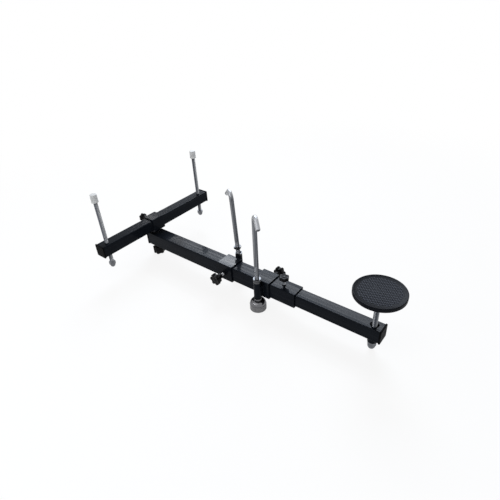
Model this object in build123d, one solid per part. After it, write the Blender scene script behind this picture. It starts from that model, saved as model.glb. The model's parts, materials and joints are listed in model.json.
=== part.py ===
from build123d import *
import math
import os

os.makedirs("parts", exist_ok=True)

# Square tubes of the frame, in mm
outer_size = 53.0
outer_wall = 4.0
outer_len = 683.0
inner_wall = 3.0
inner_len = 560.0
extension = 272.0
crossbar_size = 42.5
crossbar_wall = 3.0
crossbar_len = 521.0
crossbar_shift = 18.0
collar_wall = 4.0
collar_len = 52.0
collar_offset = 4.0
sleeve_wall = 4.0
sleeve_len = 60.0
tube_corner = 3.5
least_corner = 1.0
slide_gap = 1.0

# Plastic plugs in the tube ends
cap_flange = 5.0
cap_lip = 1.5
cap_corner = 3.0
cap_edge = 1.5
cap_plug = 8.0
cap_wall = 2.0
cap_gap = 0.2

# Swivel between the main beam and the collar
pivot_inset = 20.0
pivot_stud_r = 6.0
pivot_boss_r = 17.0
pivot_boss_h = 9.25
pivot_washer_h = 2.0
clamp_washer_r = 14.0
clamp_washer_h = 2.5
pivot_knob_r = 22.5
pivot_knob_thick = 30.0
pivot_hub_r = 12.0
insert_r = 9.0
stud_tip_cover = 6.0

# Star knobs on clamp studs
knob_r = 20.5
knob_thick = 16.0
hub_r = 10.0
hub_len = 16.0
stud_r = 5.0
stud_bare = 12.5
stud_seat = 12.0
boss_r = 9.0
boss_h = 8.0
tip_gap = 0.3
lobes = 6
lobe_depth = 4.5
lobe_cut_r = 8.0
lobe_round = 2.5
knob_edge = 2.0

# Smaller knobs, on the collar and on the telescopic beam's lock
small_knob_r = 16.0
small_knob_thick = 12.5
small_lobe_depth = 2.6
lock_inset = 53.0
lock_hub_r = 7.5
lock_hub_len = 6.0
lock_stud_r = 4.0
lock_stud_bare = 12.5
lock_boss_r = 6.0
lock_boss_h = 3.0

# Stabiliser screws at the crossbar ends
screw_r = 7.0
screw_inset = 28.5
screw_len = 262.0
screw_top_lift = 254.0
nut_across = 20.0
nut_h = 13.0
dome_r = 9.0
dome_h = 12.0
weld_nut_r = 11.0
weld_nut_h = 12.0
hex_sides = 6
hex_corner_cut = 0.9
tip_cap_r = 11.5
tip_cap_h = 28.5
tip_cap_roof = 17.8
tip_cap_edge = 2.0
tip_cap_bead = 0.6
tip_cap_bead_h = 4.0

# Hooks, their guides and the handwheels below
hook_rod_r = 7.5
hook_shank = 314.0
hook_bend_r = 20.0
hook_bend_deg = 125.0
hook_leg = 29.5
hook_tip_chamfer = 1.5
guide_wall = 2.2
guide_bore_r = 10.0
guide_len = 60.0
guide_drop = 24.0
guide_offset = 3.0
guide_stand = 2.0
guide_ring_h = 6.0
gusset_thick = 5.0
gusset_h = 36.0
stop_nut_across = 24.0
stop_nut_h = 7.5
wheel_r = 27.5
wheel_neck_r = 13.5
wheel_neck_h = 8.0
wheel_rim_h = 23.0
wheel_h = 44.0
wheel_edge = 2.0
wheel_washer_h = 2.0
wheel_bulge_out = 0.78
wheel_bulge_up = 0.62

# Settings of the two carriers as photographed: place, lean, turn and lift
carrier_b_inset = 122.5
carrier_gap = 155.5
hook_a_lean_deg = -3.2
hook_b_lean_deg = 0.0
hook_a_turn_deg = 146.0
hook_b_turn_deg = -41.5
hook_a_bend_z = 244.0
hook_b_bend_z = 258.0
stop_nut_a_lift = 17.0
stop_nut_b_lift = 0.5

# Pad and its spindle
spindle_inset = 24.0
spindle_r = 7.7
spindle_hole_r = 13.0
bush_r = 14.0
bush_drop = 18.5
bush_rise = 3.0
pad_r = 72.0
pad_h = 12.8
pad_rim = 3.0
pad_slope = 9.0
pad_recess = 2.2
pad_edge = 1.5
pad_top_z = 142.7
plate_r = 64.0
plate_h = 5.0
hub_drop = 16.0
pad_hub_r = 16.0
hub_roof = 2.0
clip_r = 11.5
clip_h = 1.6
foot_across = 24.0
foot_hex_h = 14.0
foot_dome_r = 11.6
foot_dome_h = 16.0
foot_gap = 0.6

# Clearances and stance
run_gap = 0.08
face_gap = 0.2
floor_drop = 72.5

# Sizes that follow from the values above
inner_size = outer_size - 2 * (outer_wall + slide_gap)
collar_size = crossbar_size + 2 * (slide_gap + collar_wall)
sleeve_size = outer_size + 2 * (slide_gap + sleeve_wall)
outer_x0 = -pivot_inset
outer_x1 = outer_len - pivot_inset
inner_x1 = outer_x1 + extension
inner_x0 = inner_x1 - inner_len
spindle_x = inner_x1 - spindle_inset
lock_x = outer_x1 - lock_inset
carrier_b_x = outer_x1 - carrier_b_inset
carrier_a_x = carrier_b_x - carrier_gap
screw_spacing = crossbar_len - 2 * screw_inset
crossbar_z = outer_size / 2 + pivot_washer_h + pivot_boss_h + collar_size / 2
guide_r = guide_bore_r + guide_wall
guide_y = sleeve_size / 2 + guide_stand + guide_r
guide_mid = guide_len / 2 - guide_drop

# The row frame has its origin on the floor, under the middle of the whole object
x_low = -collar_size / 2 - boss_h - stud_bare - hub_len - small_knob_thick
x_high = spindle_x + pad_r
origin = Pos(-(x_low + x_high) / 2, -crossbar_shift, floor_drop)


def tube_hollow(size, wall):
    """Section of the hollow inside a square tube of this outside size."""
    return RectangleRounded(size - 2 * wall, size - 2 * wall, max(tube_corner - wall, least_corner))


def square_tube(size, wall, length):
    """Square tube along X, starting at the origin."""
    section = RectangleRounded(size, size, tube_corner) - tube_hollow(size, wall)
    return extrude(Plane.YZ * section, length)


def bar(radius, low, high):
    """Round bar on the Z axis between two heights."""
    return Pos(0, 0, low) * extrude(Circle(radius), high - low)


def ring(outside, inside, low, high):
    """Round ring on the Z axis between two heights."""
    return Pos(0, 0, low) * extrude(Circle(outside) - Circle(inside), high - low)


def end_cap(size, wall):
    """Plug with a flange that covers the end of a tube, facing +X."""
    cover = size + 2 * cap_lip
    flange = extrude(Plane.YZ * RectangleRounded(cover, cover, cap_corner), cap_flange)
    flange = chamfer(flange.faces().sort_by(Axis.X)[-1].edges(), cap_edge)
    shell = tube_hollow(size, wall + cap_gap) - tube_hollow(size, wall + cap_gap + cap_wall)
    return flange + extrude(Plane.YZ * shell, -cap_plug)


def hexagon(across, low, high, bore):
    """Hexagon nut on the Z axis with chamfered corners."""
    corner_r = across / 2 / math.cos(math.pi / hex_sides)
    blank = bar(corner_r, low, high)
    blank = chamfer(blank.edges(), (corner_r - across / 2) * hex_corner_cut)
    prism = Pos(0, 0, low) * extrude(RegularPolygon(across / 2, hex_sides, major_radius=False), high - low)
    return (blank & prism) - bar(bore, low, high)


def dome_nut(across, hex_h, round_r, round_h, bore):
    """Domed nut hanging down from the origin, with a blind hole."""
    foot = -hex_h - round_h
    half_way = math.sqrt(0.5)
    outline = [
        ThreePointArc((0, foot), (round_r * half_way, -hex_h - round_h * half_way), (round_r, -hex_h)),
        Line((round_r, -hex_h), (0, -hex_h)),
        Line((0, -hex_h), (0, foot)),
    ]
    return hexagon(across, -hex_h, 0, bore) + revolve(Plane.XZ * make_face(outline), Axis.Z)


def star(radius, thick, depth):
    """Lobed disc on the Z axis with rounded edges, starting at the origin."""
    cut_at = radius + lobe_cut_r - depth
    profile = Circle(radius)
    for i in range(lobes):
        angle = math.radians((i + 0.5) * 360 / lobes)
        profile -= Pos(cut_at * math.cos(angle), cut_at * math.sin(angle)) * Circle(lobe_cut_r)
    profile = fillet(profile.vertices(), lobe_round)
    disc = extrude(profile, thick)
    rims = disc.faces().sort_by(Axis.Z)
    return fillet(rims[0].edges() + rims[-1].edges(), knob_edge)


def knob(disc, hub_radius, hub_length, bore, seat):
    """Knob with its hub on the origin and its lobed disc towards +Z."""
    return Pos(0, 0, hub_length) * disc + bar(hub_radius, 0, hub_length) - bar(bore, 0, seat)


def outer_beam():
    """Main beam with the pivot holes and the lock hole."""
    tube = Pos(outer_x0, 0, 0) * square_tube(outer_size, outer_wall, outer_len)
    tube -= bar(pivot_stud_r + run_gap, -outer_size, outer_size)
    return tube - Pos(lock_x, 0, 0) * bar(lock_stud_r + run_gap, 0, outer_size)


def lock_boss():
    """Threaded boss on top of the main beam for the lock stud."""
    return Pos(lock_x, 0, outer_size / 2) * ring(lock_boss_r, lock_stud_r + run_gap, 0, lock_boss_h)


def lock_knob():
    """Small star knob above the main beam."""
    base = outer_size / 2 + lock_boss_h + lock_stud_bare
    disc = star(small_knob_r, small_knob_thick, small_lobe_depth)
    return Pos(lock_x, 0, base) * knob(disc, lock_hub_r, lock_hub_len, lock_stud_r, stud_seat)


def lock_stud():
    """Stud of the small knob, down to the telescopic beam."""
    top = outer_size / 2 + lock_boss_h + lock_stud_bare + stud_seat
    return Pos(lock_x, 0, 0) * bar(lock_stud_r, inner_size / 2 + tip_gap, top)


def inner_beam():
    """Telescopic beam with the holes for the pad spindle."""
    tube = Pos(inner_x0, 0, 0) * square_tube(inner_size, inner_wall, inner_len)
    tube -= Pos(spindle_x, 0, 0) * bar(spindle_hole_r, 0, inner_size)
    return tube - Pos(spindle_x, 0, 0) * bar(bush_r, -inner_size, 0)


def spindle_bush():
    """Threaded bush through the floor of the telescopic beam."""
    low = -inner_size / 2 - bush_drop
    high = -inner_size / 2 + inner_wall + bush_rise
    return Pos(spindle_x, 0, 0) * ring(bush_r, spindle_r + run_gap, low, high)


def pad_rubber():
    """Round rubber pad with a dished face and a pocket for its plate."""
    dish_r = pad_r - pad_rim
    dish = Pos(0, 0, pad_h - pad_recess / 2) * Cone(dish_r - pad_slope, dish_r, pad_recess)
    pad = bar(pad_r, 0, pad_h) - dish
    pad = fillet(pad.edges().filter_by(GeomType.CIRCLE).group_by(SortBy.RADIUS)[-1], pad_edge)
    return Pos(spindle_x, 0, pad_top_z - pad_h) * (pad - bar(plate_r, 0, plate_h))


def pad_plate():
    """Steel disc let into the underside of the pad."""
    return Pos(spindle_x, 0, pad_top_z - pad_h) * bar(plate_r, 0, plate_h)


def pad_hub():
    """Socket under the pad that turns on the spindle's head."""
    hub = bar(pad_hub_r, -hub_drop, 0) - bar(spindle_r + run_gap, -hub_drop, -hub_roof)
    return Pos(spindle_x, 0, pad_top_z - pad_h) * hub


def pad_spindle():
    """Spindle from the pad down through the bush."""
    top = pad_top_z - pad_h - hub_roof - face_gap
    low = -inner_size / 2 - bush_drop - foot_gap - foot_hex_h
    return Pos(spindle_x, 0, 0) * bar(spindle_r, low, top)


def spindle_clip():
    """Retaining ring on the spindle under the pad's socket."""
    high = pad_top_z - pad_h - hub_drop - face_gap
    return Pos(spindle_x, 0, 0) * ring(clip_r, spindle_r, high - clip_h, high)


def spindle_foot():
    """Domed nut on the lower end of the spindle."""
    top = -inner_size / 2 - bush_drop - foot_gap
    return Pos(spindle_x, 0, top) * dome_nut(foot_across, foot_hex_h, foot_dome_r, foot_dome_h, spindle_r)


def collar():
    """Short tube that holds the crossbar above the main beam."""
    tube = Pos(0, -collar_len / 2, 0) * Rot(0, 0, 90) * square_tube(collar_size, collar_wall, collar_len)
    hole = Rot(0, -90, 0) * bar(stud_r + run_gap, 0, collar_size)
    return Pos(0, collar_offset, crossbar_z) * (tube - hole)


def pivot_boss():
    """Round boss welded under the collar."""
    low = outer_size / 2 + pivot_washer_h
    return ring(pivot_boss_r, pivot_stud_r, low, low + pivot_boss_h)


def pivot_stud():
    """Stud from the boss down through the main beam."""
    high = outer_size / 2 + pivot_washer_h + pivot_boss_h
    return bar(pivot_stud_r, -floor_drop + stud_tip_cover, high)


def pivot_washer():
    """Washer between the boss and the main beam."""
    low = outer_size / 2
    return ring(pivot_boss_r, pivot_stud_r, low, low + pivot_washer_h)


def clamp_washer():
    """Washer between the main beam and the pivot knob."""
    high = -outer_size / 2
    return ring(clamp_washer_r, pivot_stud_r + run_gap, high - clamp_washer_h, high)


def pivot_knob():
    """Star knob under the main beam, standing on the floor."""
    base = outer_size / 2 + clamp_washer_h
    length = floor_drop - base - pivot_knob_thick
    seat = length + pivot_knob_thick - stud_tip_cover + face_gap
    disc = star(pivot_knob_r, pivot_knob_thick, lobe_depth)
    return Pos(0, 0, -base) * Rot(180, 0, 0) * knob(disc, pivot_hub_r, length, insert_r, seat)


def pivot_insert():
    """Threaded metal insert in the pivot knob."""
    high = -outer_size / 2 - clamp_washer_h
    return ring(insert_r, pivot_stud_r + run_gap, -floor_drop + stud_tip_cover - face_gap, high)


def clamp_boss(face):
    """Threaded boss on a wall that stands at this height."""
    return ring(boss_r, stud_r + run_gap, face, face + boss_h)


def clamp_stud(face, clamped):
    """Clamp stud from the clamped surface up into its knob."""
    return bar(stud_r, clamped + tip_gap, face + boss_h + stud_bare + stud_seat)


def clamp_knob(face, disc):
    """Knob of a clamp stud on a wall that stands at this height."""
    return Pos(0, 0, face + boss_h + stud_bare) * knob(disc, hub_r, hub_len, stud_r, stud_seat)


def crossbar():
    """Crossbar tube with the two holes for the stabiliser screws."""
    tube = Pos(0, -crossbar_len / 2, 0) * Rot(0, 0, 90)
    tube *= square_tube(crossbar_size, crossbar_wall, crossbar_len)
    for side in (-1, 1):
        tube -= Pos(0, side * screw_spacing / 2, 0) * bar(screw_r + run_gap, -crossbar_size, crossbar_size)
    return Pos(0, crossbar_shift, crossbar_z) * tube


def screw_nuts():
    """Weld nuts on the floor of the crossbar, one for each screw."""
    low = crossbar_z - crossbar_size / 2 + crossbar_wall
    nut = ring(weld_nut_r, screw_r + run_gap, low, low + weld_nut_h)
    return [Pos(0, crossbar_shift + side * screw_spacing / 2, 0) * nut for side in (-1, 1)]


def stabiliser_screw():
    """Screw of a stabiliser, on its own axis."""
    return bar(screw_r, screw_top_lift - screw_len, screw_top_lift)


def stabiliser_nut():
    """Domed nut on the lower end of a stabiliser screw."""
    low = screw_top_lift - screw_len
    return Pos(0, 0, low + nut_h) * dome_nut(nut_across, nut_h, dome_r, dome_h, screw_r)


def stabiliser_cap():
    """Nylon cap that turns freely on the upper end of a screw."""
    roof = screw_top_lift + face_gap
    low = roof + tip_cap_roof - tip_cap_h
    cap = bar(tip_cap_r, low, low + tip_cap_h)
    cap = fillet(cap.edges().sort_by(Axis.Z)[-1], tip_cap_edge)
    bead = bar(tip_cap_r + tip_cap_bead, low, low + tip_cap_bead_h)
    bead = chamfer(bead.edges(), tip_cap_bead)
    return cap + bead - bar(screw_r + run_gap, low, roof)


def carrier_sleeve():
    """Square sleeve of a hook carrier, its hook side towards -Y."""
    tube = Pos(-sleeve_len / 2, 0, 0) * square_tube(sleeve_size, sleeve_wall, sleeve_len)
    return tube - Rot(-90, 0, 0) * bar(stud_r + run_gap, 0, sleeve_size)


def carrier_guide():
    """Upright guide tube beside the sleeve."""
    tube = ring(guide_r, guide_bore_r, -guide_drop, guide_len - guide_drop)
    return Pos(-guide_offset, -guide_y, 0) * tube


def carrier_ring():
    """Bright ring on the upper end of the guide."""
    low = guide_len - guide_drop
    return Pos(-guide_offset, -guide_y, 0) * ring(guide_r, guide_bore_r, low, low + guide_ring_h)


def carrier_gussets():
    """Two web plates that join the guide to the sleeve."""
    plates = []
    for side in (-1, 1):
        x = -guide_offset + side * (guide_r - gusset_thick / 2)
        plate = Box(gusset_thick, guide_stand + guide_r, gusset_h)
        plate = Pos(x, -(sleeve_size / 2 + guide_y) / 2, 0) * plate
        plates.append(plate - Pos(-guide_offset, -guide_y, 0) * bar(guide_r, -gusset_h, gusset_h))
    return plates


def hook():
    """Hook with its bend starting at the origin and opening towards +X."""
    bend = math.radians(hook_bend_deg)
    end = (hook_bend_r * (1 - math.cos(bend)), hook_bend_r * math.sin(bend))
    tip = (end[0] + hook_leg * math.sin(bend), end[1] + hook_leg * math.cos(bend))
    shank = Line((0, 0, -hook_shank), (0, 0, 0))
    middle = (hook_bend_r * (1 - math.cos(bend / 2)), 0, hook_bend_r * math.sin(bend / 2))
    arc = ThreePointArc((0, 0, 0), middle, (end[0], 0, end[1]))
    leg = Line((end[0], 0, end[1]), (tip[0], 0, tip[1]))
    rod = sweep(Pos(0, 0, -hook_shank) * Circle(hook_rod_r), path=Wire([shank, arc, leg]))
    ends = rod.faces().filter_by(GeomType.PLANE).edges()
    return chamfer(ends, hook_tip_chamfer)


def stop_nut():
    """Hexagon nut on the hook's thread."""
    return hexagon(stop_nut_across, 0, stop_nut_h, hook_rod_r)


def handwheel():
    """Cup-shaped nut with a broad rim, hanging down from the origin."""
    top = -wheel_washer_h
    low = top - wheel_h
    rim = low + wheel_rim_h
    neck = top - wheel_neck_h
    outline = [
        Line((hook_rod_r + run_gap, low), (wheel_r - wheel_edge, low)),
        Line((wheel_r - wheel_edge, low), (wheel_r, low + wheel_edge)),
        Line((wheel_r, low + wheel_edge), (wheel_r, rim)),
        ThreePointArc(
            (wheel_r, rim),
            (wheel_neck_r + wheel_bulge_out * (wheel_r - wheel_neck_r), rim + wheel_bulge_up * (neck - rim)),
            (wheel_neck_r, neck),
        ),
        Line((wheel_neck_r, neck), (wheel_neck_r, top)),
        Line((wheel_neck_r, top), (hook_rod_r + run_gap, top)),
        Line((hook_rod_r + run_gap, top), (hook_rod_r + run_gap, low)),
    ]
    return revolve(Plane.XZ * make_face(outline), Axis.Z)


def wheel_washer():
    """Thrust washer on top of a handwheel."""
    return ring(wheel_neck_r, hook_rod_r + run_gap, -wheel_washer_h, 0)


def wheel_top(lean):
    """Place of a handwheel below the guide's middle, with its lowest edge on the floor."""
    tilt = math.radians(abs(lean))
    low = (floor_drop + guide_mid - (wheel_r - wheel_edge) * math.sin(tilt)) / math.cos(tilt)
    return wheel_h + wheel_washer_h - low


def carrier(tag, x, turn, hook_axis, bend_z, hook_turn, nut_lift, lean):
    """All the pieces of one hook carrier, by name."""
    place = Pos(x, 0, 0) * Rot(0, 0, turn)
    clamp = place * Rot(-90, 0, 0)
    upright = math.cos(math.radians(lean))
    on_rod = hook_axis * Pos(0, 0, (guide_len / 2 + guide_ring_h) / upright + nut_lift)
    on_wheel = hook_axis * Pos(0, 0, wheel_top(lean))
    return {
        "sleeve_" + tag: place * carrier_sleeve(),
        "guide_" + tag: place * carrier_guide(),
        "guide_ring_" + tag: place * carrier_ring(),
        "gussets_" + tag: [place * plate for plate in carrier_gussets()],
        "clamp_boss_" + tag: clamp * clamp_boss(sleeve_size / 2),
        "clamp_stud_" + tag: clamp * clamp_stud(sleeve_size / 2, outer_size / 2),
        "clamp_knob_" + tag: clamp * clamp_knob(sleeve_size / 2, star(knob_r, knob_thick, lobe_depth)),
        "hook_" + tag: hook_axis * Rot(0, 0, hook_turn) * Pos(0, 0, bend_z - guide_mid) * hook(),
        "stop_nut_" + tag: on_rod * stop_nut(),
        "handwheel_" + tag: on_wheel * handwheel(),
        "wheel_washer_" + tag: on_wheel * wheel_washer(),
    }


def all_pieces():
    """Every piece of the object, by name, before it is set on the floor."""
    pieces = {
        "outer_beam": outer_beam(),
        "beam_end_cap": Pos(outer_x0, 0, 0) * Rot(0, 0, 180) * end_cap(outer_size, outer_wall),
        "lock_boss": lock_boss(),
        "lock_knob": lock_knob(),
        "lock_stud": lock_stud(),
        "inner_beam": inner_beam(),
        "inner_end_cap": Pos(inner_x1, 0, 0) * end_cap(inner_size, inner_wall),
        "spindle_bush": spindle_bush(),
        "pad_rubber": pad_rubber(),
        "pad_plate": pad_plate(),
        "pad_hub": pad_hub(),
        "pad_spindle": pad_spindle(),
        "spindle_clip": spindle_clip(),
        "spindle_foot": spindle_foot(),
        "collar": collar(),
        "pivot_boss": pivot_boss(),
        "pivot_stud": pivot_stud(),
        "pivot_washer": pivot_washer(),
        "clamp_washer": clamp_washer(),
        "pivot_knob": pivot_knob(),
        "pivot_insert": pivot_insert(),
    }
    back = Pos(0, collar_offset, crossbar_z) * Rot(0, -90, 0)
    pieces["collar_boss"] = back * clamp_boss(collar_size / 2)
    pieces["collar_stud"] = back * clamp_stud(collar_size / 2, crossbar_size / 2)
    small_star = star(small_knob_r, small_knob_thick, small_lobe_depth)
    pieces["collar_knob"] = back * clamp_knob(collar_size / 2, small_star)
    pieces["crossbar"] = crossbar()
    pieces["screw_nuts"] = screw_nuts()
    for tag, side in (("near", -1), ("far", 1)):
        end = Pos(0, crossbar_shift + side * crossbar_len / 2, crossbar_z) * Rot(0, 0, side * 90)
        pieces["crossbar_cap_" + tag] = end * end_cap(crossbar_size, crossbar_wall)
        axis = Pos(0, crossbar_shift + side * screw_spacing / 2, 0)
        pieces["screw_" + tag] = axis * stabiliser_screw()
        pieces["screw_dome_" + tag] = axis * stabiliser_nut()
        pieces["screw_cap_" + tag] = axis * stabiliser_cap()
    axis_a = Pos(carrier_a_x + guide_offset, guide_y, guide_mid) * Rot(0, hook_a_lean_deg, 0)
    axis_b = Pos(carrier_b_x - guide_offset, -guide_y, guide_mid) * Rot(0, hook_b_lean_deg, 0)
    set_a = (hook_a_bend_z, hook_a_turn_deg, stop_nut_a_lift, hook_a_lean_deg)
    set_b = (hook_b_bend_z, hook_b_turn_deg, stop_nut_b_lift, hook_b_lean_deg)
    pieces |= carrier("a", carrier_a_x, 180, axis_a, *set_a)
    pieces |= carrier("b", carrier_b_x, 0, axis_b, *set_b)
    return pieces


for name, piece in all_pieces().items():
    solids = piece if isinstance(piece, list) else [piece]
    solids = [origin * solid for solid in solids]
    export_step(Compound(children=solids) if len(solids) > 1 else solids[0], f"parts/{name}.step")
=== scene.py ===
"""Looks of the engine support bar: meshes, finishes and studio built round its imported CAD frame."""

import json
import logging
import math
from collections.abc import Callable, Iterable, Sequence
from dataclasses import dataclass
from enum import Enum

import bmesh
import bpy
from mathutils import Matrix, Vector


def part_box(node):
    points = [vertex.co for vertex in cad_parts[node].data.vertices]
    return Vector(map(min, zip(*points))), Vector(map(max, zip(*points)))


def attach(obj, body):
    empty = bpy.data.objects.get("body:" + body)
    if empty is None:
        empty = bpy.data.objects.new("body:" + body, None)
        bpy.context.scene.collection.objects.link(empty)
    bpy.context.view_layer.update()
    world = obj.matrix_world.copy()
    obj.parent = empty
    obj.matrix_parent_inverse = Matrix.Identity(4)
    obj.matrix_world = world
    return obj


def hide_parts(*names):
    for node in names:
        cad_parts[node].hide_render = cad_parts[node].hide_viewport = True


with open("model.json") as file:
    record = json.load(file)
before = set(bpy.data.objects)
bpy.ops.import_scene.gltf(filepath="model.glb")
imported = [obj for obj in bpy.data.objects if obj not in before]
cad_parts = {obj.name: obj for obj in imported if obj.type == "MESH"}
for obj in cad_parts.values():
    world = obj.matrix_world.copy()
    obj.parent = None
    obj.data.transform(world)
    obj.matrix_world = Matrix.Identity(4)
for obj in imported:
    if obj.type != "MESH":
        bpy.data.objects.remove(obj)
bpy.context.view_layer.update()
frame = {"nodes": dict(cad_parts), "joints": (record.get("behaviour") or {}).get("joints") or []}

LOG = logging.getLogger("support_bar")
MM = 0.001
UP = Vector((0, 0, 1))
DOWN = Vector((0, 0, -1))
ALONG = Vector((1, 0, 0))
BACK = Vector((-1, 0, 0))
AWAY = Vector((0, 1, 0))
TOWARDS = Vector((0, -1, 0))
GRAIN = "grain"
SHARP_EDGE = math.radians(38)
QUARTER_TURN = [math.radians(15 * k) for k in range(7)]
FOLLOWS_RIM = -1.0
Pair = tuple[float, float]
Colour = tuple[float, float, float]
Radius = Callable[[float], float]
Socket = bpy.types.NodeSocket
Tree = bpy.types.NodeTree


class Slot(Enum):
    """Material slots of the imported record."""

    PAINT = "black_paint"
    PLASTIC = "black_plastic"
    ZINC = "zinc"
    STEEL = "turned_steel"
    NYLON = "nylon"
    RUBBER = "rubber"


def math_node(tree: Tree, operation: str, first: Socket, second: Socket) -> Socket:
    """Works out a value from two varying values.

    Args:
        tree: node tree that holds them.
        operation: Blender's name of the sum.
        first: first value.
        second: second value.

    Returns:
        The result's socket.
    """
    node = tree.nodes.new("ShaderNodeMath")
    node.operation = operation
    tree.links.new(first, node.inputs[0])
    tree.links.new(second, node.inputs[1])
    return node.outputs["Value"]


def map_range(tree: Tree, source: Socket, span: Pair, result: Pair, curve: str = "LINEAR") -> Socket:
    """Stretches a varying value.

    Args:
        tree: node tree that holds it.
        source: the value.
        span: values of the source at the start and at the end.
        result: values given there.
        curve: Blender's name of the way between.

    Returns:
        The stretched value's socket.
    """
    node = tree.nodes.new("ShaderNodeMapRange")
    node.interpolation_type = curve
    for socket, value in zip(("From Min", "From Max", "To Min", "To Max"), (*span, *result)):
        node.inputs[socket].default_value = value
    tree.links.new(source, node.inputs["Value"])
    return node.outputs["Result"]


class Shader:
    """Node tree of one material, with short calls for the nodes that the finishes share."""

    NOISE_SPAN: Pair = (0.3, 0.7)
    LEVEL_FACE: Pair = (0.9, 1.0)
    FLAT_TO_EDGE: Pair = (0.995, 0.86)
    # Noise that breaks up the pale edges, which are a painted edge highlight and partly wear.
    EDGE_BREAKUP: float = 160.0
    EDGE_BREAKUP_SPAN: Pair = (0.25, 1.0)
    MIX_LOW: int = 6
    MIX_HIGH: int = 7
    MIX_RESULT: int = 2

    def __init__(self, name: str) -> None:
        """Starts a material with object coordinates at hand.

        Args:
            name: name of the material.
        """
        self.material = bpy.data.materials.new(name)
        self.material.use_nodes = True
        self.tree = self.material.node_tree
        self.bsdf = self.tree.nodes["Principled BSDF"]
        self.place = self.tree.nodes.new("ShaderNodeTexCoord").outputs["Object"]

    def set(self, **values: object) -> None:
        """Sets constants on the shader's own sockets, by name with underscores."""
        for name, value in values.items():
            self.bsdf.inputs[name.replace("_", " ")].default_value = value

    def feed(self, socket: str, source: Socket) -> None:
        """Links a varying source to one of the shader's sockets."""
        self.tree.links.new(source, self.bsdf.inputs[socket])

    def source(self, socket: str) -> Socket:
        """What feeds one of the shader's sockets."""
        return self.bsdf.inputs[socket].links[0].from_socket

    def noise(
        self, scale: float, detail: float = 3.0, stretch: Colour | None = None, place: Socket | None = None
    ) -> Socket:
        """Cloudy variation over the surface.

        Args:
            scale: clouds per metre.
            detail: octaves of finer variation.
            stretch: scale along each axis, where the grain has a direction.
            place: coordinates that it follows, or those of the object.

        Returns:
            The factor socket.
        """
        node = self.tree.nodes.new("ShaderNodeTexNoise")
        node.inputs["Scale"].default_value = scale
        node.inputs["Detail"].default_value = detail
        source = place or self.place
        if stretch is not None:
            source = self.vector("MULTIPLY", source, stretch)
        self.tree.links.new(source, node.inputs["Vector"])
        return node.outputs["Fac"]

    def vector(
        self, operation: str, first: Socket, second: Colour | Socket, output: str = "Vector"
    ) -> Socket:
        """Works out a vector or a length from two vectors.

        Args:
            operation: Blender's name of the sum.
            first: varying vector.
            second: varying or constant vector.
            output: socket that gives the result.

        Returns:
            The result's socket.
        """
        node = self.tree.nodes.new("ShaderNodeVectorMath")
        node.operation = operation
        self.tree.links.new(first, node.inputs[0])
        if isinstance(second, tuple):
            node.inputs[1].default_value = second
        else:
            self.tree.links.new(second, node.inputs[1])
        return node.outputs[output]

    def normal(self) -> Socket:
        """Direction that the surface faces."""
        return self.tree.nodes.new("ShaderNodeNewGeometry").outputs["Normal"]

    def upward(self, source: Socket, extra: float) -> Socket:
        """Adds an extra to a varying value on faces that look up."""
        facing = self.vector("DOT_PRODUCT", self.normal(), tuple(UP), "Value")
        return math_node(self.tree, "ADD", source, self.ramp(facing, self.LEVEL_FACE, (0, extra)))

    def part(self, source: Socket, axis: str) -> Socket:
        """One component of a vector.

        Args:
            source: the vector.
            axis: letter of the component.

        Returns:
            The component's socket.
        """
        node = self.tree.nodes.new("ShaderNodeSeparateXYZ")
        self.tree.links.new(source, node.inputs["Vector"])
        return node.outputs[axis]

    def grain(self) -> Socket:
        """Marks that a piece carries: millimetres along and across a swept piece, or on its X, where a turned
        piece is polished or where stud tops take their paler colour, partly wear and partly a painted
        highlight.

        Returns:
            The marks' socket.
        """
        node = self.tree.nodes.new("ShaderNodeAttribute")
        node.attribute_name = GRAIN
        return node.outputs["Vector"]

    def ramp(self, source: Socket, span: Pair, result: Pair) -> Socket:
        """Value that runs over the result while the source runs over its span."""
        return map_range(self.tree, source, span, result)

    def span(self, source: Socket, result: Pair) -> Socket:
        """Noise stretched to run over the result."""
        return self.ramp(source, self.NOISE_SPAN, result)

    def product(self, first: Socket, second: Socket) -> Socket:
        """Two varying values multiplied."""
        return math_node(self.tree, "MULTIPLY", first, second)

    def blend(self, factor: Socket, low: Colour | Socket, high: Colour) -> Socket:
        """Mixes two colours by a varying factor.

        Args:
            factor: where the second colour shows.
            low: first colour, or the socket that gives it.
            high: second colour.

        Returns:
            The mixed colour socket.
        """
        node = self.tree.nodes.new("ShaderNodeMix")
        node.data_type = "RGBA"
        self.tree.links.new(factor, node.inputs["Factor"])
        if isinstance(low, tuple):
            node.inputs[self.MIX_LOW].default_value = (*low, 1)
        else:
            self.tree.links.new(low, node.inputs[self.MIX_LOW])
        node.inputs[self.MIX_HIGH].default_value = (*high, 1)
        return node.outputs[self.MIX_RESULT]

    def overlay(self, factor: Socket, colour: Colour) -> None:
        """Lays a colour over the base colour where a factor shows it."""
        self.feed("Base Color", self.blend(factor, self.source("Base Color"), colour))

    def edges(self, radius: float, wear_and_highlight_share: float) -> Socket:
        """Mask of the piece's pale edges, partly wear and partly a painted edge highlight, broken up by
        noise.

        Args:
            radius: width of the pale edge in metres.
            wear_and_highlight_share: strength of the pale edge, partly wear and partly a painted edge
                highlight, up to 1.

        Returns:
            The mask socket.
        """
        bevel = self.tree.nodes.new("ShaderNodeBevel")
        bevel.inputs["Radius"].default_value = radius
        flat = self.vector("DOT_PRODUCT", bevel.outputs["Normal"], self.normal(), "Value")
        mask = self.ramp(flat, self.FLAT_TO_EDGE, (0, wear_and_highlight_share))
        return self.product(mask, self.span(self.noise(self.EDGE_BREAKUP), self.EDGE_BREAKUP_SPAN))

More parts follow.
